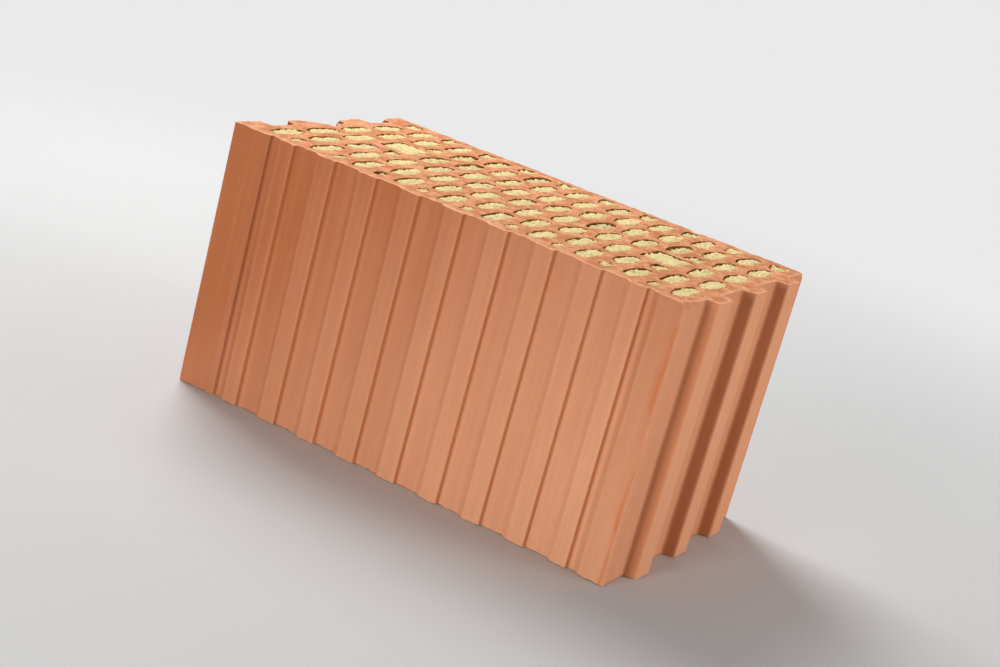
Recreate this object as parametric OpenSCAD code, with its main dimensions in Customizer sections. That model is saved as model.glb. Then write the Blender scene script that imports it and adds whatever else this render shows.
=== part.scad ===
// Insulated clay block for walls. One extruded and fired clay body, full of staggered
// upright cells, with a plug of straw-coloured insulation in every cell.
// X runs along the wall, Y through the wall, Z is up. The origin lies in the plane of the
// lower bed face, under the middle of the whole block with its tongues.

/* [Block] */
// Length from the face of the grooved end to the base of the tongues
block_length = 440; // [330:1:480]
// Thickness of the wall that the block makes
block_width = 248; // [220:1:300]
// Height between the lower and the upper bed face
block_height = 238; // [180:1:250]
// How far each upright edge of the long faces is eased
edge_ease = 1; // [0.6:0.1:2]

/* [Tongues and grooves] */
// How far a tongue stands out from the end
tongue_height = 11.5; // [8:0.5:14]
// Width of a tongue across its top
tongue_top_width = 24; // [18:0.5:28]
// Run of each sloped side of a tongue
tongue_side_run = 4; // [3:0.5:7]
// Spacing of the tongues across the end
tongue_pitch = 73; // [64:0.5:76]
// How far the outer edges of the tongues and the edges of the grooves are eased
tongue_edge_ease = 2.5; // [1:0.25:3]
// How far the hollow corner at the foot of a tongue is eased
tongue_foot_ease = 2.5; // [2:0.5:5]
// Room left at each side of a neighbour's tongue in its groove
groove_side_room = 4; // [1:0.25:4.5]
// Room left between a neighbour's tongue and the bottom of its groove
groove_end_room = 1; // [0.5:0.25:2]

/* [Front face] */
// Depth of the shallow plaster recesses
recess_depth = 3.8; // [2:0.1:5]
// Width of a raised band across its top
band_top_width = 16.5; // [10:0.5:18]
// How much narrower the first and the last band are, on the side of the margin
end_band_trim = 2.5; // [0:0.25:5]
// Run of the gentle side of a raised band, towards the grooved end
band_gentle_run = 6; // [3:0.25:7]
// Run of the steep side of a raised band, towards the tongued end
band_steep_run = 1.5; // [1:0.25:4]
// Spacing of the raised bands
band_pitch = 43; // [40:0.5:50]
// Least width of the floor of a recess
recess_floor_width = 2; // [1:0.5:8]
// Width of the plain margin beside the grooved end
left_margin = 38; // [24:0.5:42]
// Width of the plain margin beside the tongued end
right_margin = 23.5; // [18:0.5:36]

/* [Cells] */
// Width of a cell at its middle
cell_width = 16; // [12:0.25:17]
// Width of a cell where its rounded end begins
cell_end_width = 8; // [5:0.25:10]
// Length of a cell through the wall
cell_length = 42; // [34:0.5:44]
// Width of the small cells in the half places behind the front face
front_cell_width = 10.5; // [8:0.25:16]
// Spacing of the cells of one row
cell_pitch = 50.5; // [49:0.5:56]
// Least spacing of the rows
row_pitch_least = 21.5; // [21:0.25:26]
// Clay between the cells and the long faces
face_wall = 9.5; // [8:0.25:14]
// Clay between the cells and the two ends
end_wall = 9.5; // [8:0.25:14]
// Least length of a small cell and of a cell cut short by the back wall
cut_cell_least = 9; // [7:0.5:14]

/* [Grip cells] */
// Width of the two larger cells along the block
grip_width = 33; // [28:0.5:34]
// Length of the two larger cells through the wall
grip_length = 38; // [30:0.5:40]
// Radius of the corners of the larger cells
grip_corner = 5; // [3:0.5:8]
// Clay kept between a larger cell and the cells beside it
grip_web = 6.5; // [5:0.25:8]

/* [Insulation] */
// Clearance between a plug and the wall of its cell
plug_clearance = 0.3; // [0.2:0.05:0.5]
// How far the plugs end below the upper bed face
plug_top_recess = 2; // [1:0.25:8]
// How far the plugs end above the lower bed face
plug_bottom_recess = 2; // [1:0.25:8]

/* [Hidden] */
$fn = 96;
ease_steps = 3;
clay_colour = [0.80, 0.50, 0.35];
plug_colour = [0.90, 0.85, 0.60];
groove_depth = tongue_height + groove_end_room;
groove_top_width = tongue_top_width + 2 * groove_side_room;
// Rows of cells: an odd count, so that the first and the last row are alike.
row_zone = block_length - groove_depth - 2 * end_wall - cell_width;
row_count = 2 * floor(row_zone / row_pitch_least / 2) + 1;
row_last = row_count - 1;
row_pitch = row_zone / row_last;
row_start = groove_depth + end_wall + cell_width / 2;
// Cells of a row: even rows begin behind the recesses, odd rows half a pitch sooner.
cell_start = recess_depth + face_wall + cell_length / 2;
cell_last = ceil((block_width - cell_start) / cell_pitch);
bulge_share = (cell_width - cell_end_width) / 2 / cell_width;
// The half places of the odd rows hold small cells as long as the room left there.
front_cell_length = cell_length - cell_pitch / 2;
grip_row_index = 2;
grip_cell_index = 2;
// Raised bands of the front face, centred between the two margins.
band_zone = block_length - left_margin - right_margin;
end_recess = band_gentle_run + recess_floor_width + band_steep_run;
band_room = band_zone - band_top_width + 2 * end_band_trim - 2 * end_recess;
band_count = floor(band_room / band_pitch) + 1;
band_last = band_count - 1;
band_start = left_margin + (band_zone - band_last * band_pitch) / 2;

function row_x(row) = row_start + row * row_pitch;
function cell_y(row, cell) = cell_start + cell * cell_pitch - (row % 2) * cell_pitch / 2;
function cell_small(row, cell) = cell_y(row, cell) - cell_length / 2 < face_wall;
function cell_cut(row, cell) = cell_y(row, cell) + cell_length / 2 > block_width - face_wall;
function cell_back(row, cell) = min(block_width - face_wall, cell_y(row, cell) + cell_length / 2);
function cell_front(row, cell) =
    cell_small(row, cell)
    ? cell_back(row, cell) - front_cell_length
    : cell_y(row, cell) - cell_length / 2;
function cell_kept(row, cell) = cell_back(row, cell) - cell_front(row, cell) >= cut_cell_least;
function between(a, b, share) = a + (b - a) * share;

// Corner b of an outline, eased by the given amount between its neighbours a and c.
function eased_corner(a, b, c, ease) =
    let (back = min(ease, 0.45 * norm(a - b)) / norm(a - b))
    let (ahead = min(ease, 0.45 * norm(c - b)) / norm(c - b))
    let (from = between(b, a, back))
    let (to = between(b, c, ahead))
    [for (s = [0 : ease_steps])
        let (t = s / ease_steps)
        between(between(from, b, t), between(b, to, t), t)];

// An outline whose points each carry their place along X, along Y and their ease.
function eased(points) =
    let (n = len(points))
    let (place = [for (p = points) [p[0], p[1]]])
    [for (i = [0 : n - 1])
        each eased_corner(place[(i + n - 1) % n], place[i], place[(i + 1) % n], points[i][2])];

function with_ease(points, ease) = [for (p = points) [p[0], p[1], ease]];

// Upright fold lines of the front face, from the grooved end to the tongued end.
function front_edge() = [
    [0, 0],
    [left_margin, 0],
    [left_margin + band_steep_run, recess_depth],
    for (i = [0 : band_last])
        let (middle = band_start + i * band_pitch)
        let (left_trim = i == 0 ? end_band_trim : 0)
        let (right_trim = i == band_last ? end_band_trim : 0)
        each band_edge(
            middle - band_top_width / 2 + left_trim,
            middle + band_top_width / 2 - right_trim),
    [block_length - right_margin - band_gentle_run, recess_depth],
    [block_length - right_margin, 0],
    [block_length, 0]];

// Fold lines of one raised band whose top runs from left to right.
function band_edge(left, right) = [
    [left - band_gentle_run, recess_depth],
    [left, 0],
    [right, 0],
    [right + band_steep_run, recess_depth]];

// Fold lines of the tongued end, from the front to the back.
function tongue_edge() = [
    for (i = [-1 : 1])
        let (front_top = tongue_y(i) - tongue_top_width / 2)
        let (back_top = tongue_y(i) + tongue_top_width / 2)
        each [
            [block_length, front_top - tongue_side_run, tongue_foot_ease],
            [block_length + tongue_height, front_top, tongue_edge_ease],
            [block_length + tongue_height, back_top, tongue_edge_ease],
            [block_length, back_top + tongue_side_run, tongue_foot_ease]]];

function tongue_y(i) = block_width / 2 + i * tongue_pitch;

// Ends of the plain back face, from the tongued end to the grooved end.
function back_edge() = [
    [block_length, block_width],
    [0, block_width]];

// Fold lines of the grooved end, from the back to the front.
function groove_edge() = [
    for (i = [1 : -1 : -1])
        each [
            [0, tongue_y(i) + groove_top_width / 2 + tongue_side_run],
            [groove_depth, tongue_y(i) + groove_top_width / 2],
            [groove_depth, tongue_y(i) - groove_top_width / 2],
            [0, tongue_y(i) - groove_top_width / 2 - tongue_side_run]]];

// Outline of the block in plan, with its front left corner at zero.
module block_outline() {
    front = with_ease(front_edge(), edge_ease);
    back = with_ease(back_edge(), edge_ease);
    grooved = with_ease(groove_edge(), tongue_edge_ease);
    polygon(eased(concat(front, tongue_edge(), back, grooved)));
}

// One cell: two bulging sides and two rounded ends, drawn in by the clearance.
module bulging_cell(width, length, clearance) {
    bulge = width * bulge_share;
    side_radius = (pow(length / 2, 2) + pow(bulge, 2)) / (2 * bulge);
    side_shift = side_radius - width / 2;
    intersection() {
        translate([side_shift, 0])
            circle(side_radius - clearance);
        translate([-side_shift, 0])
            circle(side_radius - clearance);
        circle(length / 2 - clearance);
    }
}

// A cell in its place: small behind the front face, and cut short by the back wall.
module placed_cell(row, cell, clearance) {
    front = cell_front(row, cell) + clearance;
    back = cell_back(row, cell) - clearance;
    if (cell_small(row, cell))
        translate([row_x(row), (front + back) / 2])
            bulging_cell(front_cell_width, front_cell_length, clearance);
    else if (cell_cut(row, cell))
        intersection() {
            translate([row_x(row), cell_y(row, cell)])
                bulging_cell(cell_width, cell_length, clearance);
            translate([row_x(row) - cell_width, front])
                square([2 * cell_width, back - front]);
        }
    else
        translate([row_x(row), cell_y(row, cell)])
            bulging_cell(cell_width, cell_length, clearance);
}

// Middle of a larger cell, between two rows. The second is the first turned about.
function grip_middle(second) =
    second
    ? [row_x(row_last - grip_row_index) - row_pitch / 2, cell_y(1, grip_cell_index)]
    : [row_x(grip_row_index) + row_pitch / 2, cell_y(0, grip_cell_index)];

// A box with rounded corners, grown on every side.
module grip_box(grow) {
    half_x = grip_width / 2 + grow;
    half_y = grip_length / 2 + grow;
    round = grip_corner;
    square([2 * (half_x - round), 2 * half_y], center = true);
    square([2 * half_x, 2 * (half_y - round)], center = true);
    for (x = [-1, 1], y = [-1, 1])
        translate([x * (half_x - round), y * (half_y - round)])
            circle(round);
}

// The plain box of clay and cell that a larger cell takes up.
module grip_space(grow) {
    square([grip_width + 2 * grow, grip_length + 2 * grow], center = true);
}

function beside_grip(row) =
    row == grip_row_index || row == grip_row_index + 1
    || row == row_last - grip_row_index || row == row_last - grip_row_index - 1;

// Every cell in plan, drawn in by the clearance.
module cells(clearance) {
    for (row = [0 : row_last], cell = [0 : cell_last])
        if (cell_kept(row, cell))
            if (beside_grip(row))
                difference() {
                    placed_cell(row, cell, clearance);
                    for (second = [false, true])
                        translate(grip_middle(second))
                            grip_space(grip_web + clearance);
                }
            else
                placed_cell(row, cell, clearance);
    for (second = [false, true])
        translate(grip_middle(second))
            grip_box(-clearance);
}

module to_middle() {
    translate([-(block_length + tongue_height) / 2, -block_width / 2, 0])
        children();
}

// The clay: one solid, cells open at both bed faces.
module clay_body() {
    color(clay_colour)
        to_middle()
            linear_extrude(height = block_height)
                difference() {
                    block_outline();
                    cells(0);
                }
}

// The insulation: one plug for each cell, ending a little inside both bed faces.
module insulation_plugs() {
    color(plug_colour)
        to_middle()
            translate([0, 0, plug_bottom_recess])
                linear_extrude(height = block_height - plug_bottom_recess - plug_top_recess)
                    cells(plug_clearance);
}

clay_body();
insulation_plugs();
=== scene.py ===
import math

import bpy
import numpy as np
from mathutils import Matrix, Vector
from mathutils.geometry import delaunay_2d_cdt


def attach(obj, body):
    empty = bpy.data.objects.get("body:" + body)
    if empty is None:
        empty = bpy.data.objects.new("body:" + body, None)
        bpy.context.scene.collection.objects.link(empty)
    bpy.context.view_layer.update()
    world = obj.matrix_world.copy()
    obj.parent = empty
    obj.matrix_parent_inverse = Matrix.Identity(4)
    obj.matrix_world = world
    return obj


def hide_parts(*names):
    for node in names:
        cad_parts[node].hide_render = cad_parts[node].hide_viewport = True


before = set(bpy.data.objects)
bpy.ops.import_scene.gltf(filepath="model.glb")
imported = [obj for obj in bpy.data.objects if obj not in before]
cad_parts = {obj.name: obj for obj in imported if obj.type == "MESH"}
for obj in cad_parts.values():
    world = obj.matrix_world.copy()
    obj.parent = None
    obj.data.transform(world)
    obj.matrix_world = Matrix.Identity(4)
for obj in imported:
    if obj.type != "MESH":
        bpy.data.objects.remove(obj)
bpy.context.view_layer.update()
print("frame loaded")

millimetre = 0.001
tiny = 1e-6  # keeps a division away from zero

# block: its plan in millimetres, with the front left corner at zero
block = {
    "length": 440.0,
    "width": 248.0,
    "height": 238.0,
    "edgeEase": 1.0,  # rounding of the outer edges
    "tongueHeight": 11.5,
    "tongueTop": 24.0,
    "tongueRun": 4.0,  # run of a tongue's sloping side
    "tonguePitch": 73.0,
    "tongueEase": 2.5,
    "footEase": 2.5,
    "grooveDepth": 12.5,
    "grooveTop": 32.0,
    "recess": 3.8,
    "bandTop": 16.5,  # flat top of a band
    "endTrim": 2.5,  # taken off the outer side of the first and last band
    "gentleRun": 6.0,  # run of a band's side at low X
    "steepRun": 1.5,  # and at high X
    "bandPitch": 43.0,
    "bandStart": 55.25,  # middle of the first band
    "bandCount": 9,
    "leftMargin": 38.0,
    "rightMargin": 23.5,
}


def toFrame(points):
    # millimetres in the block's plan to metres in the frame, whose zero is the middle of the plan
    shift = np.array([(block["length"] + block["tongueHeight"]) / 2, block["width"] / 2, 0.0])
    return (points - shift) * millimetre


def ripple(points, size, seed, waves=14, spread=(0.6, 1.6)):
    # sum of seeded sine waves, each of about the given length, mostly between -1 and 1
    draws = np.random.default_rng(seed)
    way = draws.normal(size=(waves, points.shape[-1]))
    often = draws.uniform(*spread, (waves, 1))
    way *= 2 * math.pi / size * often / np.linalg.norm(way, axis=1, keepdims=True)
    phase = draws.uniform(0, 2 * math.pi, waves)
    return np.sin(points @ way.T + phase).sum(-1) / math.sqrt(waves)


def ripples(points, waves, seed, start=0.0):
    # start plus several ripples, each given by its length and height, with seeds counted up
    parts = (rise * ripple(points, size, seed + number) for number, (size, rise) in enumerate(waves))
    return sum(parts, start)


def smooth(x, low, high):
    # 0 at low and 1 at high, and between them three squares less two cubes of the share of the way
    along = np.clip((x - low) / (high - low), 0.0, 1.0)
    return along * along * (3 - 2 * along)


def inParts(measure, points, *given, parts=24):
    # a measure of many points, worked out part by part to spare memory
    return np.concatenate([measure(part, *given) for part in np.array_split(points, parts)])


def planCorners():
    # fold lines of the outline in plan, going round from the front left corner: X, Y and ease
    length, width, recess = block["length"], block["width"], block["recess"]
    gentle, steep, count = block["gentleRun"], block["steepRun"], block["bandCount"]
    bandMiddle = block["bandStart"] + block["bandPitch"] * np.arange(count)
    trim = block["endTrim"] * np.eye(count)[[0, -1]]
    low = bandMiddle - block["bandTop"] / 2 + trim[0]
    high = bandMiddle + block["bandTop"] / 2 - trim[1]
    bandX = np.stack([low - gentle, low, high, high + steep], 1).ravel()
    bandY = np.tile([recess, 0.0, 0.0, recess], count)
    left, right = block["leftMargin"], length - block["rightMargin"]
    frontX = np.r_[0.0, left, left + steep, bandX, right - gentle, right, length]
    frontY = np.r_[0.0, 0.0, recess, bandY, recess, 0.0, 0.0]
    middle = width / 2 + block["tonguePitch"] * np.array([-1.0, 0.0, 1.0])
    rise = np.tile([0.0, 1.0, 1.0, 0.0], len(middle))
    run = block["tongueRun"]
    half = block["tongueTop"] / 2
    tongueY = (middle[:, None] + np.array([-half - run, -half, half, half + run])).ravel()
    tongueX = length + block["tongueHeight"] * rise
    half = block["grooveTop"] / 2
    grooveY = (middle[::-1, None] + np.array([half + run, half, -half, -half - run])).ravel()
    grooveX = block["grooveDepth"] * rise
    ease = np.r_[
        np.full(len(frontX), block["edgeEase"]),
        np.where(rise > 0, block["tongueEase"], block["footEase"]),
        np.full(2, block["edgeEase"]),
        np.full(len(grooveX), block["tongueEase"]),
    ]
    x = np.r_[frontX, tongueX, length, 0.0, grooveX]
    y = np.r_[frontY, tongueY, width, width, grooveY]
    return np.column_stack([x, y, ease])


def easedLoop(corners, steps, most=0.45):
    # each corner becomes a parabola between two points on its sides, which lie its ease away from it,
    # or at most a given share of the side
    place, ease = corners[:, :2], corners[:, 2:]
    toLast, toNext = np.roll(place, 1, 0) - place, np.roll(place, -1, 0) - place
    start = place + toLast * np.minimum(ease / np.linalg.norm(toLast, axis=1, keepdims=True), most)
    stop = place + toNext * np.minimum(ease / np.linalg.norm(toNext, axis=1, keepdims=True), most)
    along = np.linspace(0, 1, steps)[None, :, None]
    curve = (1 - along) ** 2 * start[:, None] + 2 * along * (1 - along) * place[:, None]
    curve = curve + along**2 * stop[:, None]
    return curve.reshape(-1, 2)


def stepped(loop, step, hold=0.3, least=1.5):
    # the loop with points held close to both ends of every side longer than the least, and even steps
    # between: each point is the start of its side plus a share of the side
    side = np.roll(loop, -1, 0) - loop
    long = np.linalg.norm(side, axis=1, keepdims=True)
    isLong = long[:, 0] > least
    keep = np.stack([np.ones(len(loop), bool), isLong, isLong], 1)
    loop = np.stack([loop, loop + side * hold / long, loop + side * (1 - hold / long)], 1)[keep]
    side = np.roll(loop, -1, 0) - loop
    count = np.ceil(np.linalg.norm(side, axis=1) / step).astype(int)
    index = np.repeat(np.arange(len(loop)), count)
    share = (np.arange(count.sum()) - np.repeat(np.cumsum(count) - count, count)) / count[index]
    return loop[index] + side[index] * share[:, None]


# cells: where the upright cells lie in plan, in millimetres
cells = {
    "width": 16.0,
    "endWidth": 8.0,
    "length": 42.0,
    "frontWidth": 10.5,
    "pitch": 50.5,
    "across": 6,  # cells in a row, before those outside are dropped
    "rowLeast": 21.5,  # least step from row to row
    "wall": 9.5,
    "cutLeast": 9.0,  # least length left of a cell that a wall cuts
    "gripRow": 2,
    "gripCell": 2,
    "gripWidth": 33.0,
    "gripLength": 38.0,
    "gripWeb": 6.5,
    "gripCutLeast": 2.0,  # and of one beside a grip
    "rimPoints": 72,
    "rimSoft": 16,  # waves round the rim that stay sharp
    "rimWander": 0.5,
    "rimTear": 0.26,
    "tearFrom": 7,  # waves round the rim from which it counts as torn
    "rimMost": 1.1,
    "seed": 11,
}


def cellPlan():
    # rows at even steps in X, every other one half a pitch forward, cut by the outer walls and the grips:
    # each cell's middle before it is cut, its low and high Y, its width and its length
    wall, long, pitch = cells["wall"], cells["length"], cells["pitch"]
    rowZone = block["length"] - block["grooveDepth"] - 2 * wall - cells["width"]
    rowLast = 2 * int(rowZone / cells["rowLeast"] / 2)
    rowStep = rowZone / rowLast
    rowX = block["grooveDepth"] + wall + cells["width"] / 2 + rowStep * np.arange(rowLast + 1)
    firstY = block["recess"] + wall + long / 2
    row, turn = np.meshgrid(np.arange(rowLast + 1), np.arange(cells["across"]), indexing="ij")
    x = rowX[row].ravel()
    y = (firstY + pitch * (turn - (row % 2) / 2)).ravel()
    small = y - long / 2 < wall
    width = np.where(small, cells["frontWidth"], cells["width"])
    length = np.where(small, long - pitch / 2, long)
    y = np.where(small, y + (long - length) / 2, y)
    low = y - length / 2
    high = np.minimum(block["width"] - wall, y + length / 2)
    gripRow = cells["gripRow"]
    gripX = np.array([rowX[gripRow] + rowStep / 2, rowX[rowLast - gripRow] - rowStep / 2])
    gripY = firstY + pitch * (cells["gripCell"] - np.array([0.0, 0.5]))
    reachX = cells["gripWidth"] / 2 + cells["gripWeb"]
    reachY = cells["gripLength"] / 2 + cells["gripWeb"]
    near = np.abs(x[:, None] - gripX) < reachX + width[:, None] / 2
    above, below = near & (y[:, None] > gripY), near & (y[:, None] <= gripY)
    low = np.maximum(low, np.where(above, gripY + reachY, -np.inf).max(1))
    high = np.minimum(high, np.where(below, gripY - reachY, np.inf).min(1))
    kept = high - low >= np.where(near.any(1), cells["gripCutLeast"], cells["cutLeast"])
    return np.column_stack([x, y, low, high, width, length])[kept], np.column_stack([gripX, gripY])


def rimShares(plan, grips):
    # each cell: its middle, its half sizes, the rays to the ellipse of those half sizes, and its rim as a
    # share of the rays: the least of two side circles, an end circle and the walls that cut it, then
    # softened and a little torn
    around = cells["rimPoints"]
    gripSize = np.tile([cells["gripWidth"], cells["gripLength"]], (len(grips), 1))
    gripEnds = grips[:, 1:] + gripSize[:, 1:] * [-0.5, 0.5]
    every = np.concatenate([plan, np.hstack([grips, gripEnds, gripSize])])
    isGrip = np.arange(len(every)) >= len(plan)
    centre, low, high, width, length = every[:, :2], *every[:, 2:].T
    bulge = width * (cells["width"] - cells["endWidth"]) / 2 / cells["width"]
    radius = ((length / 2) ** 2 + bulge**2) / (2 * bulge)
    middle = np.column_stack([centre[:, 0], (low + high) / 2])
    half = np.column_stack([width, high - low]) / 2
    angle = np.arange(around) * 2 * math.pi / around
    ray = half[:, None] * np.stack([np.cos(angle), np.sin(angle)], -1)
    reach = np.linalg.norm(ray, axis=-1)
    way = ray / reach[..., None]

    def toCircle(shiftX, size, least=0.01):
        # distance along the ray to a circle about a point beside the cell's own middle
        away = centre - middle + np.column_stack([shiftX, np.zeros(len(every))])
        along = (way * away[:, None]).sum(-1)
        return along + np.sqrt(np.maximum(along**2 + (size**2 - (away**2).sum(-1))[:, None], least))

    sides = np.minimum(toCircle(radius - width / 2, radius), toCircle(width / 2 - radius, radius))
    long = np.minimum(sides, toCircle(np.zeros(len(every)), length / 2))
    walls = half[:, None] / np.maximum(np.abs(way), tiny)
    long = np.where(isGrip[:, None], walls.min(-1), np.minimum(long, walls[..., 1]))
    wave = np.arange(around // 2 + 1)
    soft = np.exp(-((wave / cells["rimSoft"]) ** 2))
    share = np.fft.irfft(np.fft.rfft(long / reach, axis=1) * soft, around, axis=1)
    draws = np.random.default_rng(cells["seed"])
    noise = np.fft.rfft(draws.normal(size=share.shape), axis=1)
    wander = np.fft.irfft(noise * ((wave > 1) & (wave < cells["tearFrom"])), around, axis=1)
    tear = np.fft.irfft(noise * (wave >= cells["tearFrom"]), around, axis=1)
    offset = cells["rimWander"] * wander / wander.std() + cells["rimTear"] * tear / tear.std()
    return middle, half, ray, share + np.clip(offset, -cells["rimMost"], cells["rimMost"]) / reach


cellRows, gripCells = cellPlan()
rimMiddle, rimHalf, rimRay, rimShare = rimShares(cellRows, gripCells)
print("cells", len(cellRows), "and grips", len(gripCells))


def outOfCells(points):
    # about how far each point lies outside the nearest rim, in millimetres, below zero inside a cell: its
    # share of the ray less the rim's, divided by the slope of that share
    around = cells["rimPoints"]
    local = (points[:, None] - rimMiddle) / rimHalf
    turn = np.arctan2(local[..., 1], local[..., 0]) / (2 * math.pi) * around % around
    before = np.floor(turn).astype(int) % around
    index = np.arange(len(rimMiddle))[None]
    first, second = rimShare[index, before], rimShare[index, (before + 1) % around]
    edge = first + (second - first) * (turn - np.floor(turn))
    long = np.linalg.norm(local, axis=-1)
    slope = np.linalg.norm(local / rimHalf, axis=-1) / np.maximum(long, tiny)
    return ((long - edge) / slope).min(1)


def nearOutline(points, loop):
    # distance to the nearest side of a closed loop, below zero outside it
    side = np.roll(loop, -1, 0) - loop
    away = points[:, None] - loop
    share = np.clip((away * side).sum(-1) / (side**2).sum(-1), 0.0, 1.0)
    distance = np.linalg.norm(away - share[..., None] * side, axis=-1).min(1)
    up = (loop[:, 1] > points[:, 1:]) != (loop[:, 1] + side[:, 1] > points[:, 1:])
    cross = loop[:, 0] + side[:, 0] * away[..., 1] / np.where(side[:, 1] == 0, tiny, side[:, 1])
    inside = (up & (points[:, :1] < cross)).sum(1) % 2 == 1
    return np.where(inside, distance, -distance)


def gridFaces(ring):
    # quads between the rows of an index grid, whose columns close on themselves
    after = np.roll(ring, -1, 1)
    return np.stack([ring[:-1], ring[1:], after[1:], after[:-1]], -1).reshape(-1, 4)


def makeMesh(name, points, faces, values, sharp):
    # a mesh from arrays: points in millimetres, arrays of triangles and of quads, values stored at the
    # points, and the angle in degrees from which an edge stays sharp
    mesh = bpy.data.meshes.new(name)
    mesh.vertices.add(len(points))
    mesh.vertices.foreach_set("co", toFrame(points).astype(np.float32).ravel())
    size = np.concatenate([np.full(len(part), part.shape[1]) for part in faces])
    corners = np.concatenate([part.ravel() for part in faces])
    mesh.loops.add(len(corners))
    mesh.loops.foreach_set("vertex_index", corners.astype(np.int32))
    mesh.polygons.add(len(size))
    mesh.polygons.foreach_set("loop_start", (np.cumsum(size) - size).astype(np.int32))
    mesh.polygons.foreach_set("use_smooth", np.ones(len(size), bool))
    for key, value in values.items():
        mesh.attributes.new(key, "FLOAT", "POINT").data.foreach_set("value", value.astype(np.float32))
    mesh.update(calc_edges=True)
    mesh.validate()
    piece = bpy.data.objects.new(name, mesh)
    bpy.context.scene.collection.objects.link(piece)
    mesh.set_sharp_from_angle(angle=math.radians(sharp))
    print(name, len(points), "points", (size - 2).sum(), "triangles")
    return piece


def tint(colour):
    # screen values from 0 to 255 as the linear colour that shaders take, by the usual screen curve
    value = np.array(colour) / 255
    linear = np.where(value <= 0.04045, value / 12.92, ((value + 0.055) / 1.055) ** 2.4)
    return (*linear.tolist(), 1.0)


def add(tree, kind, inputs=None, **settings):
    # one node with its settings, each input set to a value or joined to a socket
    node = tree.nodes.new(kind)
    for key, value in settings.items():
        setattr(node, key, value)
    for key, value in (inputs or {}).items():
        if isinstance(value, bpy.types.NodeSocket):
            tree.links.new(value, node.inputs[key])
        else:
            node.inputs[key].default_value = value
    return node


def blend(tree, share, low, high):
    # colour that goes from low to high with the share
    return add(tree, "ShaderNodeMix", {0: share, 6: low, 7: high}, data_type="RGBA").outputs[2]


def maths(tree, operation, *values):
    # result of one sum on numbers or sockets
    return add(tree, "ShaderNodeMath", dict(enumerate(values)), operation=operation).outputs[0]


def ramp(tree, value, low, high):
    # 0 at the low limit and 1 at the high one, with a smooth ramp between
    inputs = {"Value": value, "From Min": low, "From Max": high}
    return add(tree, "ShaderNodeMapRange", inputs, interpolation_type="SMOOTHSTEP").outputs[0]


def scaled(tree, vector, x, y, z):
    # the place with each axis scaled, so that a pattern is drawn out where the scale is small
    return add(tree, "ShaderNodeMapping", {"Vector": vector, "Scale": (x, y, z)}).outputs[0]


def coat(tree, under, mask, share, colour):
    # goes from what is under it to the colour by a share of the mask
    return blend(tree, maths(tree, "MULTIPLY", mask, share), under, tint(colour))


def coated(tree, under, masks, coats):
    # several coats on one another, each with its share and colour, under the name of its mask
    for name, (share, colour) in coats.items():
        under = coat(tree, under, masks[name], share, colour)
    return under


def relief(tree, masks, heights):
    # sum of the named masks, each times its height
    total = 0.0
    for name, height in heights.items():
        total = maths(tree, "MULTIPLY_ADD", masks[name], height, total)
    return total


def held(tree, names):
    # the values stored at the points, by name
    return {name: add(tree, "ShaderNodeAttribute", attribute_name=name).outputs["Fac"] for name in names}


def newGroup(name, inputs, output):
    # an empty node group with a vector input, named number inputs and one output value
    tree = bpy.data.node_groups.new(name, "ShaderNodeTree")
    tree.interface.new_socket("Vector", in_out="INPUT", socket_type="NodeSocketVector")
    for label in inputs:
        tree.interface.new_socket(label, in_out="INPUT", socket_type="NodeSocketFloat")
    tree.interface.new_socket(output, in_out="OUTPUT", socket_type="NodeSocketFloat")
    return tree, tree.nodes.new("NodeGroupInput").outputs, tree.nodes.new("NodeGroupOutput").inputs


def mottleGroup():
    # noise of a given scale, from 0 below the low limit to 1 above the high one
    tree, given, out = newGroup("mottle", ["Scale", "Detail", "Low", "High"], "Share")
    noise = add(tree, "ShaderNodeTexNoise", {key: given[key] for key in ("Vector", "Scale", "Detail")})
    tree.links.new(ramp(tree, noise.outputs[0], given["Low"], given["High"]), out["Share"])
    return tree


def specksGroup():
    # round grains: 1 inside the few grains kept, fading to 0 at their edge
    tree, given, out = newGroup("specks", ["Scale", "Size", "Kept"], "Mask")
    dots = add(tree, "ShaderNodeTexVoronoi", {"Vector": given["Vector"], "Scale": given["Scale"]})
    chance = add(tree, "ShaderNodeSeparateColor", {"Color": dots.outputs["Color"]})
    kept = maths(tree, "LESS_THAN", chance.outputs[0], given["Kept"])
    near = ramp(tree, dots.outputs["Distance"], given["Size"], 0.0)
    tree.links.new(maths(tree, "MULTIPLY", kept, near), out["Mask"])
    return tree


mottle, specks = mottleGroup(), specksGroup()
print("node groups made")


def mottled(tree, vector, scale, detail, low, high):
    # the mottle group with its own values
    inputs = {"Vector": vector, "Scale": scale, "Detail": detail, "Low": low, "High": high}
    return add(tree, "ShaderNodeGroup", inputs, node_tree=mottle).outputs[0]


def specked(tree, vector, scale, size, kept):
    # the specks group with its own values
    inputs = {"Vector": vector, "Scale": scale, "Size": size, "Kept": kept}
    return add(tree, "ShaderNodeGroup", inputs, node_tree=specks).outputs[0]


def newMaterial(name, roughness, shine):
    # a material with its shader, whose roughness and shine are the same all over, and Object coordinates
    material = bpy.data.materials.new(name)
    material.use_nodes = True
    tree = material.node_tree
    shader = tree.nodes["Principled BSDF"]
    shader.inputs["Roughness"].default_value = roughness
    shader.inputs["Specular IOR Level"].default_value = shine
    return material, tree, shader, add(tree, "ShaderNodeTexCoord").outputs["Object"]


def dress(tree, shader, colour, height, strength, depth):
    # gives the shader its colour and a bump of the height, whose depth is in millimetres
    tree.links.new(colour, shader.inputs["Base Color"])
    inputs = {"Height": height, "Strength": strength, "Distance": depth * millimetre}
    tree.links.new(add(tree, "ShaderNodeBump", inputs).outputs[0], shader.inputs["Normal"])


# edges of the lands beside the middle groove and behind the last one
mouthHalf = block["grooveTop"] / 2 + block["tongueRun"]
landEdges = block["width"] / 2 + np.array([-mouthHalf, mouthHalf, block["tonguePitch"] + mouthHalf])

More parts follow.
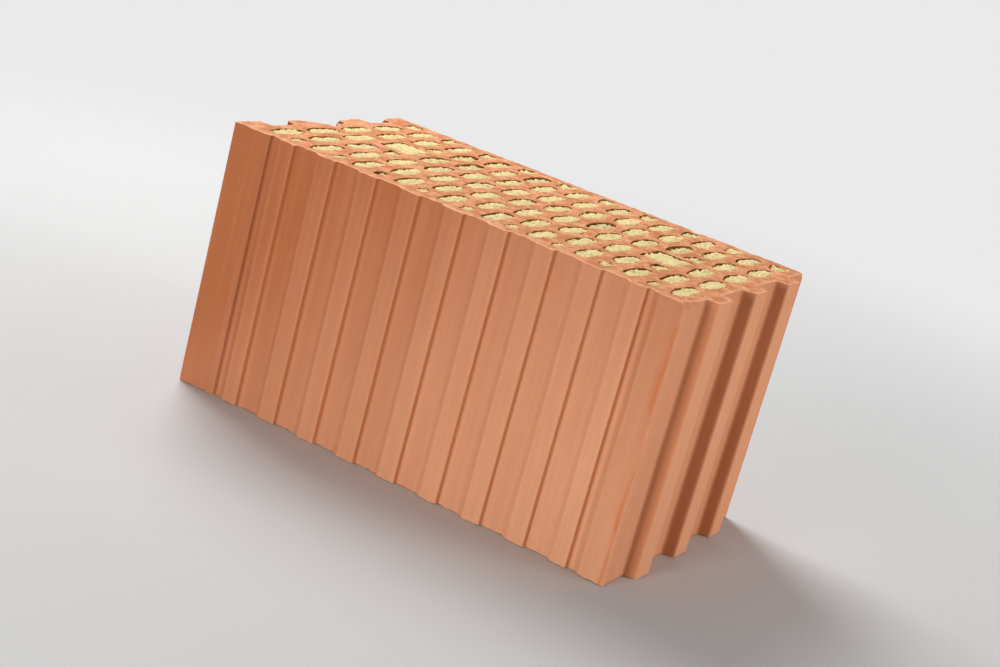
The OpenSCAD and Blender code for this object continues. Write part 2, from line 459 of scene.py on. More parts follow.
# clay: the shape and finish of the clay body, with lengths in millimetres and colours in screen values
clay = {
    "foldPoints": 5,  # points round each fold
    "outlineStep": 3.0,
    "levels": [0.0, 0.5, 1.3, 2.6, 4.6, 8.0, 13.0, 24.0],  # from each cut
    "middleLevels": 6,
    "wallLevels": [0.0, 1.1, 4.0],
    "levelGap": 0.05,  # least gap under the upper cut and over the lower one
    "sharp": 42.0,
    # extruded sides: a slight waver, small chips at both cuts, larger ones at the back, broken corners
    "waver": 0.14,
    "waverLength": 46.0,
    "waverDraw": 0.12,  # drawn out upwards by this share
    "chip": 0.2,
    "chipLength": 22.0,
    "chipFrom": 0.2,
    "chipDepth": 2.4,
    "chipFade": 1.4,
    "backFade": 3,
    "backChips": [  # X, depth and half width
        (97.0, 2.6, 4.5),
        (203.0, 1.8, 3.0),
        (218.0, 2.0, 4.0),
        (332.0, 5.0, 4.0),
        (387.0, 2.2, 3.0),
    ],
    "breaks": [  # corner in plan, the way the break faces, and how far it cuts in at the top
        {"corner": (block["length"], 0.0), "out": (0.951, -0.309), "cut": 6.2},
        {"corner": (block["length"], block["width"]), "out": (0.8, 0.6), "cut": 2.8},
        {"corner": (0.0, landEdges[0]), "out": (-0.866, 0.5), "cut": 8.5},
        {"corner": (0.0, landEdges[1]), "out": (-0.986, -0.165), "cut": 4.3},
        {"corner": (0.0, landEdges[2]), "out": (-0.9, -0.436), "cut": 3.9},
    ],
    "breakDrop": 6.0,
    "breakReach": 25.0,
    "breakWaves": [(6.0, 0.07)],
    "breakFade": (0.1, 0.5),
    "brokenDepth": 3.0,
    # cut faces: their grids, their roughness and how they roll off at every edge
    "sheetStep": 2.3,
    "underStep": 4.4,
    "gridMargin": 2.0,
    "gridRow": 0.866,  # this and the next two are shares of the step
    "gridJitter": 0.28,
    "gridClear": 0.38,
    "cutRough": 0.2,
    "cutWaves": [(14.0, 0.5), (6.5, 0.5)],
    "roll": 0.45,
    "rollWaves": [(12.0, 0.5)],
    "rollLeast": 0.1,
    "rollSpread": 0.9,
    "seeds": {
        "waver": 5,
        "chip": 21,
        "lowerChip": 23,
        "break": 31,
        "top": 41,
        "under": 43,
        "drop": 10,  # this and the next are added to those of the cut faces
        "roll": 3,
    },
    # places on the sides, and how much each shifts the side's tone; most of these shifts are painted light
    # and shade
    "foldSpread": 0.9,
    "rimSpread": 1.6,
    "lipSpread": 1.9,
    "frontZone": 5.0,  # sides nearer than this belong to the front
    "steepFrom": 5.0,  # steep sides this near the left margin stay plain
    "steepFacing": (0.5, 0.9),
    "gentleFacing": (0.2, 0.5),
    "flatFacing": (0.5, 0.1),
    "rightFade": (10.0, 4.0),
    # share of painted warm bounce light on the tongue flanks
    "flankWarmShade": 0.5,
    # painted sheen and light: the sides grow paler towards the right end and lower down
    "paintedLightStart": 0.07,
    "paintedLightAlong": 0.0019,
    "paintedLightDown": 0.0025,
    "paintedLightMiddle": 120.0,
    # painted shade on the floors of the recesses
    "recessShade": -0.08,
    # painted shade on the tongued end, and painted light on the tops of its tongues
    "endShade": -0.36,
    "tongueTopLight": 0.14,
    # painted shade on the front flanks of the tongues
    "flankShade": -0.1,
    # painted light on the steep sides of the bands
    "steepLight": 0.15,
    # painted shade on the gentle sides of the bands
    "gentleShade": -0.2,
    # painted highlight on the floor of a recess beside the foot of its steep side
    "footHighlight": 0.26,
    "footSpread": 2.4,
    "leftBloom": -0.09,
    "rightBloom": -0.3,
    "blotchBloom": 0.25,
    # patterns: scale, detail, low and high limit, or for the grains scale, size and share kept
    "streakDraw": 0.035,
    "blotchDraw": 0.3,
    "patterns": {
        "blotch": (6.0, 3.0, 0.3, 0.7),
        "streak": (130.0, 3.0, 0.42, 0.72),
        "fineStreak": (520.0, 2.0, 0.35, 0.7),
        "burrWander": (14.0, 3.0, 0.3, 0.7),
        "burrPatch": (48.0, 4.0, 0.4, 0.6),
        "smear": (95.0, 3.0, 0.36, 0.64),
        "torn": (260.0, 6.0, 0.34, 0.68),
        "pits": (480.0, 3.0, 0.62, 0.74),
        "pink": (130.0, 3.0, 0.5, 0.66),
        "sand": (900.0, 4.0, 0.2, 0.8),
    },
    "grain": (330.0, 0.2, 0.1),
    # colours, and coats with their shares
    # the side's tone goes from deep to pale with its tone and painted light
    "deep": (169, 100, 63),
    "pale": (215, 153, 116),
    "sideCoats": {
        "streak": (0.11, (218, 158, 122)),
        "fineStreak": (0.12, (170, 98, 60)),
        "grain": (0.28, (232, 190, 160)),
        # painted shade in the hollows
        "hollow": (0.08, (150, 80, 36)),
        "crest": (0.36, (222, 160, 126)),
        # painted warm bounce light on the shaded steep sides and tongue flanks
        "warmShade": (0.4, (215, 125, 60)),
    },
    "burr": (192, 106, 58),
    "burrInset": 3.7,  # from the right end
    "burrWander": 3.0,
    "burrCoats": [(9.0, 0.3), (2.6, 0.6)],  # reach and share
    "cut": (250, 186, 139),
    "cutDeep": (206, 131, 88),
    "untornShare": 0.6,
    "cutCoats": {
        "pink": (0.6, (236, 146, 110)),
        "tornRim": (0.6, (240, 172, 116)),
        "lip": (0.75, (248, 190, 148)),
        "pits": (0.6, (178, 106, 64)),
    },
    # cell walls: painted shade, tinted by filling left on them
    "wallShadeAndResidue": (156, 104, 54),
    "roughness": 0.88,
    "shine": 0.1,
    "sideRelief": {"streak": 0.5, "fineStreak": 0.35, "sand": 0.4},
    "cutRelief": {"torn": 1.6, "pits": -0.8},
    "reliefStrength": 0.4,
    "reliefDepth": 0.3,
}
clayMarks = ("cutFace", "cellWall", "rim", "lip", "crest", "hollow", "warmShade", "burr", "toneAndPaintedLight")


def turnAlong(loop):
    # turning angle of a loop as a share of a right angle, blurred along it, above zero at its crests
    ahead = np.roll(loop, -1, 0) - loop
    heading = np.arctan2(ahead[:, 1], ahead[:, 0])
    turn = (heading - np.roll(heading, 1) + math.pi) % (2 * math.pi) - math.pi
    step = np.linalg.norm(ahead, axis=1)
    place = np.cumsum(step) - step
    gap = np.abs(place[:, None] - place)
    gap = np.minimum(gap, step.sum() - gap)
    return np.exp(-0.5 * (gap / clay["foldSpread"]) ** 2) @ turn / (math.pi / 2)


def sideMarks(corners, loop, out, height):
    # for each point of the sides: its share of crest, of painted shade in the hollows, of painted warm
    # light on the shaded sides and of the burr's margin, and its tone with painted light and shade
    x, y = loop.T
    edge, recess, leftMargin = block["edgeEase"], block["recess"], block["leftMargin"]
    rightEdge = block["length"] - block["rightMargin"]
    lift = np.clip((x - block["length"]) / block["tongueHeight"], 0.0, 1.0)
    atEnd = smooth(x, block["length"] - edge, block["length"])
    flank = smooth(-out[:, 1], *clay["steepFacing"]) * atEnd * (y > clay["frontZone"])
    onFront = (y < clay["frontZone"]) * (1 - atEnd)
    inRecess = np.clip(y / recess, 0.0, 1.0) * onFront
    steep = smooth(out[:, 0], *clay["steepFacing"]) * onFront * (x > leftMargin + clay["steepFrom"])
    gentle = smooth(-out[:, 0], *clay["gentleFacing"]) * onFront * (1 - inRecess)
    right = smooth(x, *(rightEdge - np.array(clay["rightFade"]))) * onFront
    left = smooth(-x, -leftMargin, edge - leftMargin) * onFront
    # painted highlight on the floor of a recess, which fades with the distance from the foot of its steep
    # side
    steepFeet = corners[(corners[:, 1] == recess) & np.roll(corners[:, 1] == 0.0, 1), 0]
    past = x[:, None] - steepFeet
    past = np.where(past > 0.0, past, np.inf).min(1)
    nearFootHighlight = np.exp(-past / clay["footSpread"]) * inRecess * smooth(out[:, 0], *clay["flatFacing"])
    # tone = start + along * X + down * (middle - Z), a painted sheen that grows paler to the right and
    # lower down, and a share for each kind of place, most of them painted light and shade
    toneAndPaintedLight = clay["paintedLightStart"] + clay["paintedLightAlong"] * x + clay["recessShade"] * inRecess
    toneAndPaintedLight += atEnd * (clay["endShade"] + clay["tongueTopLight"] * lift) + clay["flankShade"] * flank
    toneAndPaintedLight += clay["steepLight"] * steep + clay["gentleShade"] * gentle + clay["footHighlight"] * nearFootHighlight
    toneAndPaintedLight += clay["leftBloom"] * left + clay["rightBloom"] * right
    turn = turnAlong(loop)
    return {
        "crest": np.clip(turn, 0, 1) * (1 - left),
        "hollow": np.clip(-turn, 0, 1),
        "warmShade": steep + clay["flankWarmShade"] * flank,
        "burr": right,
        "toneAndPaintedLight": toneAndPaintedLight + clay["paintedLightDown"] * (clay["paintedLightMiddle"] - height) * (1 - atEnd),
    }


def sideGrid():
    # the outline carried up the block, with a slight waver, worn edges at both cuts and some broken ones,
    # the marks of its points, and whether each lies on a broken place
    top, seeds = block["height"], clay["seeds"]
    corners = planCorners()
    loop = stepped(easedLoop(corners, clay["foldPoints"]), clay["outlineStep"])
    along = np.roll(loop, -1, 0) - np.roll(loop, 1, 0)
    out = np.stack([along[:, 1], -along[:, 0]], -1) / np.linalg.norm(along, axis=1, keepdims=True)
    ends = np.array(clay["levels"])
    middle = np.linspace(ends[-1], top - ends[-1], clay["middleLevels"])[1:-1]
    depth = np.r_[ends, middle, top - ends[::-1]]
    points = np.empty((len(depth), len(loop), 3))
    points[..., :2], points[..., 2] = loop, top - depth[:, None]
    drawn = points * [1, 1, clay["waverDraw"]]
    waver = clay["waver"] * np.maximum(1 + ripple(drawn, clay["waverLength"], seeds["waver"]), 0.0)
    chip, lower = (
        np.maximum(ripple(loop, clay["chipLength"], seeds[key]) - clay["chipFrom"], 0.0)
        for key in ("chip", "lowerChip")
    )
    fall = np.exp(-((depth / clay["chipDepth"]) ** clay["chipFade"]))[:, None]
    inward = waver + clay["chip"] * (chip * fall + lower * fall[::-1])
    edge = block["edgeEase"]
    atBack = smooth(loop[:, 1], block["width"] - edge, block["width"] - edge / 2)
    for spot, deep, wide in clay["backChips"]:
        across = atBack * np.exp(-((np.abs(loop[:, 0] - spot) / wide) ** clay["backFade"]))
        inward = inward + deep * across * np.exp(-depth / deep)[:, None]
    points[..., :2] -= out * inward[..., None]
    broken = np.zeros(points.shape[:2])
    # each break is a slanted plane that draws in what lies beyond it
    for given in clay["breaks"]:
        corner, away = np.array(given["corner"]), np.array(given["out"])
        rough = given["cut"] * ripples(points, clay["breakWaves"], seeds["break"], 1.0)
        over = (points[..., :2] - corner) @ away + rough * (1 - depth[:, None] / clay["breakDrop"])
        near = np.linalg.norm(points[..., :2] - corner, axis=-1) < clay["breakReach"]
        over = np.where(near & (depth[:, None] < clay["breakDrop"]), np.maximum(over, 0.0), 0.0)
        points[..., :2] -= over[..., None] * away
        broken = np.maximum(broken, smooth(over, *clay["breakFade"]))
    marks = sideMarks(corners, loop, out, points[..., 2])
    return points, marks, broken * np.exp(-((depth[:, None] / clay["brokenDepth"]) ** 2))


def webPoints(step, loop, seed):
    # a jittered triangular grid over the webs of clay between the outline and the rims
    draws = np.random.default_rng(seed)
    margin, jitter = clay["gridMargin"], clay["gridJitter"]
    x = np.arange(-margin, block["length"] + block["tongueHeight"] + margin, step)
    y = np.arange(-margin, block["width"] + margin, step * clay["gridRow"])
    grid = np.stack(np.meshgrid(x, y, indexing="xy"), -1)
    grid[1::2, :, 0] += step / 2
    points = grid.reshape(-1, 2)
    points = points + draws.uniform(-jitter, jitter, points.shape) * step
    points = points[inParts(outOfCells, points) > clay["gridClear"] * step]
    return points[inParts(nearOutline, points, loop) > clay["gridClear"] * step]


def cutDrop(points, away, seed):
    # how far the wire-cut face lies under its plane: rough clay that rolls off at every edge
    rough = ripples(points, clay["cutWaves"], seed, 1.0)
    torn = ripples(points, clay["rollWaves"], seed + clay["seeds"]["roll"], 1.0)
    torn = np.maximum(torn, clay["rollLeast"])
    rolled = clay["roll"] * torn * np.exp(-((away / clay["rollSpread"]) ** 2))
    return np.maximum(clay["cutRough"] * rough, 0.0) + rolled


def cutSheet(ring, rims, step, seed):
    # one cut face between its outline and the rims of the cells: the points of its grid, its triangles,
    # and for outline, rims and grid the drop under the cut and the distances from rim and outline
    webs = webPoints(step, ring, seed)
    flat = np.concatenate([ring, rims.reshape(-1, 2), webs])
    outline = np.arange(len(ring))
    rimIndex = len(ring) + np.arange(rims.size // 2).reshape(rims.shape[:2])
    edges = np.concatenate(
        [
            np.stack([outline, np.roll(outline, -1)], -1),
            np.stack([rimIndex, np.roll(rimIndex, -1, 1)], -1).reshape(-1, 2),
        ]
    )
    insideOnly, mergeGap = 1, 1e-5
    made = delaunay_2d_cdt(flat.tolist(), edges.tolist(), [], insideOnly, mergeGap)
    source = np.array(made[3])[:, 0]
    faces = source[np.array(made[2])]
    inCell = inParts(outOfCells, flat[faces].mean(1)) < 0
    onRims = ((faces >= len(ring)) & (faces < len(ring) + rimIndex.size)).all(1)
    fromRim, fromLip = inParts(outOfCells, flat), inParts(nearOutline, flat, ring)
    fromRim[rimIndex.ravel()], fromLip[outline] = 0.0, 0.0
    fromRim, fromLip = np.maximum(fromRim, 0.0), np.maximum(fromLip, 0.0)
    return {
        "webs": webs,
        "faces": faces[~(inCell & onRims)],
        "drop": cutDrop(flat, np.minimum(fromRim, fromLip), seed + clay["seeds"]["drop"]),
        "fromRim": fromRim,
        "fromLip": fromLip,
    }


def clayBlock():
    # the whole clay body as one closed skin: outer sides, cell walls and the two cut faces
    height, around, count = block["height"], cells["rimPoints"], len(rimMiddle)
    sides, marks, broken = sideGrid()
    outline = sides.shape[1]
    ends = np.array(clay["wallLevels"])
    depth = np.r_[ends, height - ends[::-1]]
    rims = rimMiddle[:, None] + rimShare[..., None] * rimRay
    walls = np.empty((count, len(depth), around, 3))
    walls[..., :2], walls[..., 2] = rims[:, None], height - depth[:, None]
    top = cutSheet(sides[0, :, :2], rims, clay["sheetStep"], clay["seeds"]["top"])
    low = cutSheet(sides[-1, :, :2], rims, clay["underStep"], clay["seeds"]["under"])
    rimEnd = outline + count * around
    for sheet, row, sign in ((top, 0, -1), (low, -1, 1)):
        sides[row, :, 2] += sign * sheet["drop"][:outline]
        walls[:, row, :, 2] += sign * sheet["drop"][outline:rimEnd].reshape(count, around)
    # the levels between stay under the upper cut and over the lower one
    for levels in (sides, walls.transpose(1, 0, 2, 3)):
        z = levels[..., 2]
        z[1:-1] = np.clip(z[1:-1], z[-1] + clay["levelGap"], z[0] - clay["levelGap"])
    topWebs = np.column_stack([top["webs"], height - top["drop"][rimEnd:]])
    lowWebs = np.column_stack([low["webs"], low["drop"][rimEnd:]])
    points = np.concatenate([sides.reshape(-1, 3), walls.reshape(-1, 3), topWebs, lowWebs])
    sideIndex = np.arange(sides.size // 3).reshape(sides.shape[:2])
    wallIndex = sideIndex.size + np.arange(walls.size // 3).reshape(walls.shape[:3])
    topIndex = sideIndex.size + wallIndex.size + np.arange(len(topWebs))
    lowIndex = len(points) - len(lowWebs) + np.arange(len(lowWebs))
    topOf = np.concatenate([sideIndex[0], wallIndex[:, 0].ravel(), topIndex])
    lowOf = np.concatenate([sideIndex[-1], wallIndex[:, -1].ravel(), lowIndex])
    wallFaces = np.concatenate([gridFaces(ring)[:, ::-1] for ring in wallIndex])
    faces = [gridFaces(sideIndex), wallFaces, topOf[top["faces"]], lowOf[low["faces"]][:, ::-1]]
    values = {key: np.zeros(len(points)) for key in clayMarks}
    values["cutFace"][: sideIndex.size] = broken.ravel()
    for key, value in marks.items():
        values[key][: sideIndex.size] = np.broadcast_to(value, sideIndex.shape).ravel()
    values["cellWall"][wallIndex.ravel()] = 1.0
    for index, sheet in ((topOf, top), (lowOf, low)):
        values["cutFace"][index] = 1.0
        values["rim"][index] = np.exp(-((sheet["fromRim"] / clay["rimSpread"]) ** 2))
        values["lip"][index] = np.exp(-((sheet["fromLip"] / clay["lipSpread"]) ** 2))
    return makeMesh("clayBlock", points, faces, values, clay["sharp"])


def clayMaterial():
    # fired clay: streaked sides with painted sheen, light and shade, painted shade in the hollows, paler
    # crests, pale cuts, and cell walls in painted shade
    material, tree, shader, place = newMaterial("firedClay", clay["roughness"], clay["shine"])
    drawn = scaled(tree, place, 1.0, 1.0, clay["streakDraw"])
    longish = scaled(tree, place, 1.0, 1.0, clay["blotchDraw"])
    upOnly = scaled(tree, place, 0.0, 0.0, 1.0)
    masks = held(tree, clayMarks)
    vectors = {"streak": drawn, "fineStreak": drawn, "burrWander": upOnly}
    vectors.update({"blotch": longish, "burrPatch": longish})
    for name, limits in clay["patterns"].items():
        masks[name] = mottled(tree, vectors.get(name, place), *limits)
    masks["grain"] = specked(tree, place, *clay["grain"])
    # the tone with painted light and shade held at the points, a share of the blotches more or less
    share = clay["blotchBloom"]
    blotchy = maths(tree, "MULTIPLY_ADD", masks["blotch"], share, -share / 2)
    toneAndPaintedLight = maths(tree, "ADD", masks["toneAndPaintedLight"], blotchy)
    toneAndPaintedLight = add(tree, "ShaderNodeClamp", {0: toneAndPaintedLight}).outputs[0]
    side = blend(tree, toneAndPaintedLight, tint(clay["deep"]), tint(clay["pale"]))
    side = coated(tree, side, masks, clay["sideCoats"])
    # the burr: a line on the front near its right end, which wanders as it goes up and comes and goes
    burrX = block["length"] - clay["burrInset"] + clay["burrWander"] / 2
    at = toFrame(np.array([burrX, 0.0, 0.0]))[0]
    away = maths(tree, "SUBTRACT", add(tree, "ShaderNodeSeparateXYZ", {0: place}).outputs[0], at)
    away = maths(tree, "MULTIPLY_ADD", masks["burrWander"], clay["burrWander"] * millimetre, away)
    away = maths(tree, "ABSOLUTE", away)
    patchy = maths(tree, "MULTIPLY", masks["burr"], masks["burrPatch"])
    for reach, share in clay["burrCoats"]:
        near = ramp(tree, away, reach * millimetre, 0.0)
        side = coat(tree, side, maths(tree, "MULTIPLY", patchy, near), share, clay["burr"])
    untorn = maths(tree, "SUBTRACT", 1.0, masks["torn"])
    masks["tornRim"] = maths(tree, "MULTIPLY", masks["rim"], masks["torn"])
    cut = blend(tree, masks["smear"], tint(clay["cutDeep"]), tint(clay["cut"]))
    cut = coat(tree, cut, untorn, clay["untornShare"], clay["cutDeep"])
    cut = coated(tree, cut, masks, clay["cutCoats"])
    # cell walls in painted shade
    colour = blend(tree, masks["cellWall"], side, tint(clay["wallShadeAndResidue"]))
    colour = blend(tree, masks["cutFace"], colour, cut)
    heights = {0: masks["cutFace"]}
    heights[2] = relief(tree, masks, clay["sideRelief"])
    heights[3] = relief(tree, masks, clay["cutRelief"])
    height = add(tree, "ShaderNodeMix", heights, data_type="FLOAT").outputs[0]
    dress(tree, shader, colour, height, clay["reliefStrength"], clay["reliefDepth"])
    return material


# filling: the insulation in each cell, with lengths in millimetres and colours in screen values
filling = {
    "gap": 0.12,  # room beside the clay
    "recess": 0.6,
    "recessSpread": 0.22,
    "sunken": 1.1,
    "sunkenChance": 0.04,
    "tilt": 0.014,
    "least": 0.2,
    "lumps": [(13.0, 0.35), (5.2, 0.28), (2.3, 0.24)],  # length and height
    # the sag along the rim: deepest on the low X side, torn and of uneven width
    "sag": 3.3,
    "sagFade": 1.6,
    "sagWidth": 2.8,
    "widthWaves": [(7.0, 0.45), (2.6, 0.3)],
    "widthLeast": 0.15,
    "dragMiddle": 0.5,
    "dragSlope": 0.75,
    "dragLeast": 0.06,
    "tornMean": 0.9,
    "tornWaves": [(9.0, 0.35)],
    "tornRange": (0.45, 1.4),
    "shares": [1.0, 0.93, 0.86, 0.78, 0.68, 0.54, 0.36, 0.18],
    "underShares": [1.0, 0.8, 0.4],
    "middleInside": 9.0,  # how far in the middle point counts as lying
    "sharp": 60.0,
    "seeds": {"plugs": 71, "top": 81, "under": 91, "width": 3, "torn": 5},  # the last two are added on
    "smearSpread": 3.3,
    # painted shade where the filling lies deep under the cut: from and to these depths
    "sunkShadeFrom": 1.0,
    "sunkShadeTo": 5.5,
    # patterns: scale, detail, low and high limit, or for the dots scale, size and share kept
    "stir": {"Scale": 160.0, "Detail": 2.0},
    "stirShare": 0.004,
    "fibre": (1100.0, 3.0, 0.42, 0.66),
    "fibreDraw": 0.16,
    "fibreRise": 0.5,
    "patterns": {
        "clump": (310.0, 4.0, 0.36, 0.62),
        "patch": (45.0, 2.0, 0.35, 0.65),
        "smearPatch": (190.0, 4.0, 0.3, 0.58),
    },
    "dots": (520.0, 0.42, 0.2),
    # colours, and coats with their shares
    "plain": (252, 227, 163),
    "green": (245, 224, 153),
    "coats": {
        "fibre": (0.75, (254, 242, 190)),
        # painted shade in the gaps between clumps
        "gapShade": (0.34, (202, 172, 104)),
        "dots": (0.5, (150, 124, 62)),
        "dusted": (0.85, (234, 178, 122)),
        # painted shade where the filling sinks
        "depth": (0.8, (116, 76, 34)),
    },
    "roughness": 0.95,
    "shine": 0.1,
    "relief": {"fibre": 0.5, "clump": 1.0},
    "reliefStrength": 0.6,
    "reliefDepth": 0.5,
}


def insulationPlugs():
    # every plug as one closed skin: a lumpy top, straight sides and a coarser lumpy under side
    around, count = cells["rimPoints"], len(rimMiddle)
    seeds = filling["seeds"]
    draws = np.random.default_rng(seeds["plugs"])
    reach = np.linalg.norm(rimRay, axis=-1)
    recess = filling["recess"] + filling["recessSpread"] * draws.normal(size=(2, count))
    recess += filling["sunken"] * (draws.random((2, count)) < filling["sunkenChance"])
    tilt = draws.normal(size=(2, count, 2)) * filling["tilt"]

    def surface(shares, side, seed):
        # rings of points drawn in from the rim, and a middle point: each lies under the cut by the plug's
        # recess, its lumps, the sag along the rim and a slant
        share = np.array(shares)[None, :, None]
        drawnIn = (rimShare - filling["gap"] / reach)[:, None] * share
        flat = rimMiddle[:, None, None] + drawnIn[..., None] * rimRay[:, None]
        flat = np.concatenate([flat.reshape(count, -1, 2), rimMiddle[:, None]], 1)
        inside = ((1 - share) * reach[:, None]).reshape(count, -1)
        inside = np.concatenate([inside, np.full((count, 1), filling["middleInside"])], 1)
        lumps = ripples(flat, filling["lumps"], seed)
        wide = ripples(flat, filling["widthWaves"], seed + seeds["width"], 1.0)
        wide = filling["sagWidth"] * np.maximum(wide, filling["widthLeast"])
        across = flat[..., 0] - rimMiddle[:, None, 0]
        dragged = filling["dragMiddle"] - filling["dragSlope"] * across / rimHalf[:, None, 0]
        dragged = np.clip(dragged, filling["dragLeast"], 1.0)
        torn = ripples(flat, filling["tornWaves"], seed + seeds["torn"], filling["tornMean"])
        torn = np.clip(torn, *filling["tornRange"])
        small = np.minimum(2 * rimHalf[:, :1] / cells["width"], 1.0)
        fade = np.exp(-((inside / (small * wide)) ** filling["sagFade"]))
        sag = filling["sag"] * small * dragged * torn * fade
        slant = ((flat - rimMiddle[:, None]) * tilt[side][:, None]).sum(-1)
        depth = np.maximum(recess[side][:, None] + lumps + sag + slant, filling["least"])
        return flat, depth, np.exp(-((inside / filling["smearSpread"]) ** 2))

    topFlat, topDepth, topSmear = surface(filling["shares"], 0, seeds["top"])
    lowFlat, lowDepth, lowSmear = surface(filling["underShares"], 1, seeds["under"])
    top = np.concatenate([topFlat, block["height"] - topDepth[..., None]], -1)
    low = np.concatenate([lowFlat, lowDepth[..., None]], -1)
    points = np.concatenate([top, low], 1)
    size, topSize = points.shape[1], top.shape[1]
    topIndex = np.arange(topSize - 1).reshape(-1, around)
    lowIndex = topSize + np.arange(size - topSize - 1).reshape(-1, around)
    side = np.stack([topIndex[0], lowIndex[0]])
    quads = np.concatenate([gridFaces(topIndex)[:, ::-1], gridFaces(lowIndex), gridFaces(side)])
    last, lastLow = topIndex[-1], lowIndex[-1]
    topFan = np.stack([last, np.roll(last, -1), np.full(around, topSize - 1)], -1)
    lowFan = np.stack([np.roll(lastLow, -1), lastLow, np.full(around, size - 1)], -1)
    # every plug has the same faces, counted on from its first point
    start = (np.arange(count) * size)[:, None, None]
    faces = [(start + quads).reshape(-1, 4), (start + np.concatenate([topFan, lowFan])).reshape(-1, 3)]
    # painted shade: how deep the filling lies under the cut, as a share
    depth = np.concatenate([topDepth, lowDepth], 1) - filling["sunkShadeFrom"]
    depth = np.clip(depth / (filling["sunkShadeTo"] - filling["sunkShadeFrom"]), 0, 1)
    smear = np.concatenate([topSmear, lowSmear], 1)
    values = {"depth": depth.ravel(), "smear": smear.ravel()}
    return makeMesh("insulationPlugs", points.reshape(-1, 3), faces, values, filling["sharp"])


def insulationMaterial():
    # matted straw-coloured fibres: bright clumps, painted shade in the gaps between them, more painted
    # shade where the filling sinks
    material, tree, shader, place = newMaterial("insulationFibre", filling["roughness"], filling["shine"])
    masks = held(tree, ("depth", "smear"))
    for name, limits in filling["patterns"].items():
        masks[name] = mottled(tree, place, *limits)
    masks["dots"] = specked(tree, place, *filling["dots"])
    # painted shade in the gaps between clumps
    masks["gapShade"] = maths(tree, "SUBTRACT", 1.0, masks["clump"])
    masks["dusted"] = maths(tree, "MULTIPLY", masks["smear"], masks["smearPatch"])
    # fibres: noise drawn out along X and along Y, on a place that is stirred a little
    stir = add(tree, "ShaderNodeTexNoise", {"Vector": place, **filling["stir"]}).outputs["Color"]
    stirred = {0: filling["stirShare"], 4: place, 5: stir}
    bent = add(tree, "ShaderNodeMix", stirred, data_type="VECTOR").outputs[1]
    draw, rise = filling["fibreDraw"], filling["fibreRise"]
    lengthwise = mottled(tree, scaled(tree, bent, 1.0, draw, rise), *filling["fibre"])
    crosswise = mottled(tree, scaled(tree, bent, draw, 1.0, rise), *filling["fibre"])
    masks["fibre"] = maths(tree, "MAXIMUM", lengthwise, crosswise)
    colour = blend(tree, masks["patch"], tint(filling["plain"]), tint(filling["green"]))
    colour = coated(tree, colour, masks, filling["coats"])
    height = relief(tree, masks, filling["relief"])
    dress(tree, shader, colour, height, filling["reliefStrength"], filling["reliefDepth"])
    return material


clayPiece = clayBlock()
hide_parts("clay_body")
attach(clayPiece, "root")
clayPiece.data.materials.append(clayMaterial())

fillPiece = insulationPlugs()
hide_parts("insulation_plugs")
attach(fillPiece, "root")
fillPiece.data.materials.append(insulationMaterial())
print("pieces made")

# view: the camera of the photo
view = {
    "spot": (0.65035, -1.25141, 0.53558),
    "aim": (0.07947, 0.04142, 0.13968),
    "roll": 16.1393,
    "sensor": 36.0,
    "lens": 60.257,
    "shiftX": -0.1,
}


def makeCamera():
    # looks from the spot to the aim and is turned about that line by the roll
    data = bpy.data.cameras.new("view")
    data.sensor_width, data.lens, data.shift_x = view["sensor"], view["lens"], view["shiftX"]
    camera = bpy.data.objects.new("view", data)
    bpy.context.scene.collection.objects.link(camera)
    ahead = (Vector(view["aim"]) - Vector(view["spot"])).normalized()
    level = ahead.cross(Vector((0, 0, 1))).normalized()
    above = level.cross(ahead)
    turn = math.radians(view["roll"])
    right = level * math.cos(turn) + above * math.sin(turn)
    up = above * math.cos(turn) - level * math.sin(turn)
    spin = Matrix((right, up, -ahead)).transposed()
    camera.matrix_world = Matrix.Translation(view["spot"]) @ spin.to_4x4()
    bpy.context.scene.camera = camera


# ground: the floor in metres, its paint, and the even backdrop that it fades to
ground = {
    "half": 9.0,
    "paint": (0.62, 0.62, 0.62, 1.0),
    "roughness": 0.9,
    "shine": 0.5,
    "fadeFrom": 0.45,
    "fadeTo": 1.5,
    "backdrop": (0.82, 0.82, 0.82, 1.0),
}


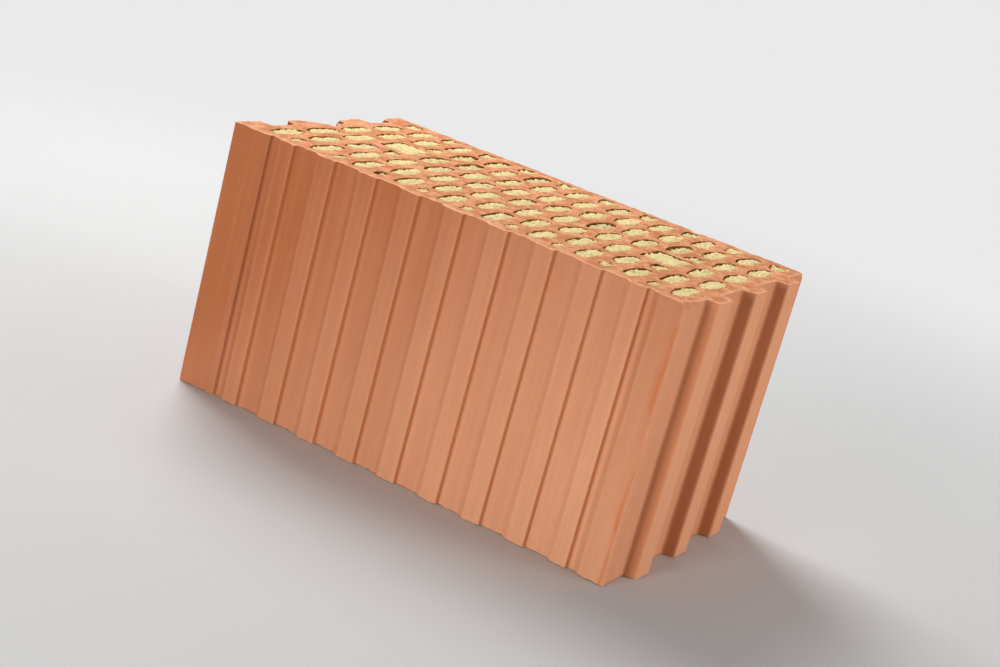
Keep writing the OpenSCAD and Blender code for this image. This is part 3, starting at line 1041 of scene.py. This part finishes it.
def makeFloor():
    # a wide pale floor that keeps the shadow near the block and is even farther off
    half = ground["half"]
    mesh = bpy.data.meshes.new("floor")
    corners = [(-half, -half, 0), (half, -half, 0), (half, half, 0), (-half, half, 0)]
    mesh.from_pydata(corners, [], [(0, 1, 2, 3)])
    floor = bpy.data.objects.new("floor", mesh)
    bpy.context.scene.collection.objects.link(floor)
    material, tree, shader, place = newMaterial("floorPaint", ground["roughness"], ground["shine"])
    shader.inputs["Base Color"].default_value = ground["paint"]
    away = add(tree, "ShaderNodeVectorMath", {0: place}, operation="LENGTH").outputs["Value"]
    far = ramp(tree, away, ground["fadeFrom"], ground["fadeTo"])
    seen = maths(tree, "MULTIPLY", far, add(tree, "ShaderNodeLightPath").outputs["Is Camera Ray"])
    glow = add(tree, "ShaderNodeEmission", {"Color": ground["backdrop"]})
    mixed = add(tree, "ShaderNodeMixShader", {0: seen, 1: shader.outputs[0], 2: glow.outputs[0]})
    tree.links.new(mixed.outputs[0], tree.nodes["Material Output"].inputs["Surface"])
    mesh.materials.append(material)


# lights: where each panel hangs, where it looks, its sides and its power, and the strength of the surround
lights = {
    "front": {"spot": (-0.15, -2.3, 0.3), "aim": (0.0, -0.1, 0.12), "size": (0.55, 0.5), "power": 31.0},
    "end": {"spot": (2.3, 0.65, 0.3), "aim": (0.2, 0.0, 0.12), "size": (0.9, 0.5), "power": 32.0},
    "top": {"spot": (-1.3, 0.7, 1.8), "aim": (0.0, 0.0, 0.2), "size": (1.2, 1.2), "power": 50.0},
}
surround = 0.28


def makeLights():
    # soft panels, and an even pale surround
    for name, given in lights.items():
        data = bpy.data.lights.new(name, "AREA")
        data.shape, data.energy = "RECTANGLE", given["power"]
        data.size, data.size_y = given["size"]
        lamp = bpy.data.objects.new(name, data)
        bpy.context.scene.collection.objects.link(lamp)
        lamp.location = given["spot"]
        lamp.rotation_mode = "QUATERNION"
        ahead = Vector(given["aim"]) - Vector(given["spot"])
        lamp.rotation_quaternion = ahead.to_track_quat("-Z", "Y")
    world = bpy.data.worlds.new("surround")
    bpy.context.scene.world = world
    world.use_nodes = True
    tree = world.node_tree
    even = tree.nodes["Background"]
    even.inputs["Color"].default_value = (1.0, 1.0, 1.0, 1.0)
    even.inputs["Strength"].default_value = surround
    seen = add(tree, "ShaderNodeBackground", {"Color": ground["backdrop"]})
    path = add(tree, "ShaderNodeLightPath").outputs["Is Camera Ray"]
    mixed = add(tree, "ShaderNodeMixShader", {0: path, 1: even.outputs[0], 2: seen.outputs[0]})
    tree.links.new(mixed.outputs[0], tree.nodes["World Output"].inputs["Surface"])


makeCamera()
makeFloor()
makeLights()
bpy.context.scene.view_settings.view_transform = "Standard"
print("camera, floor and lights made")
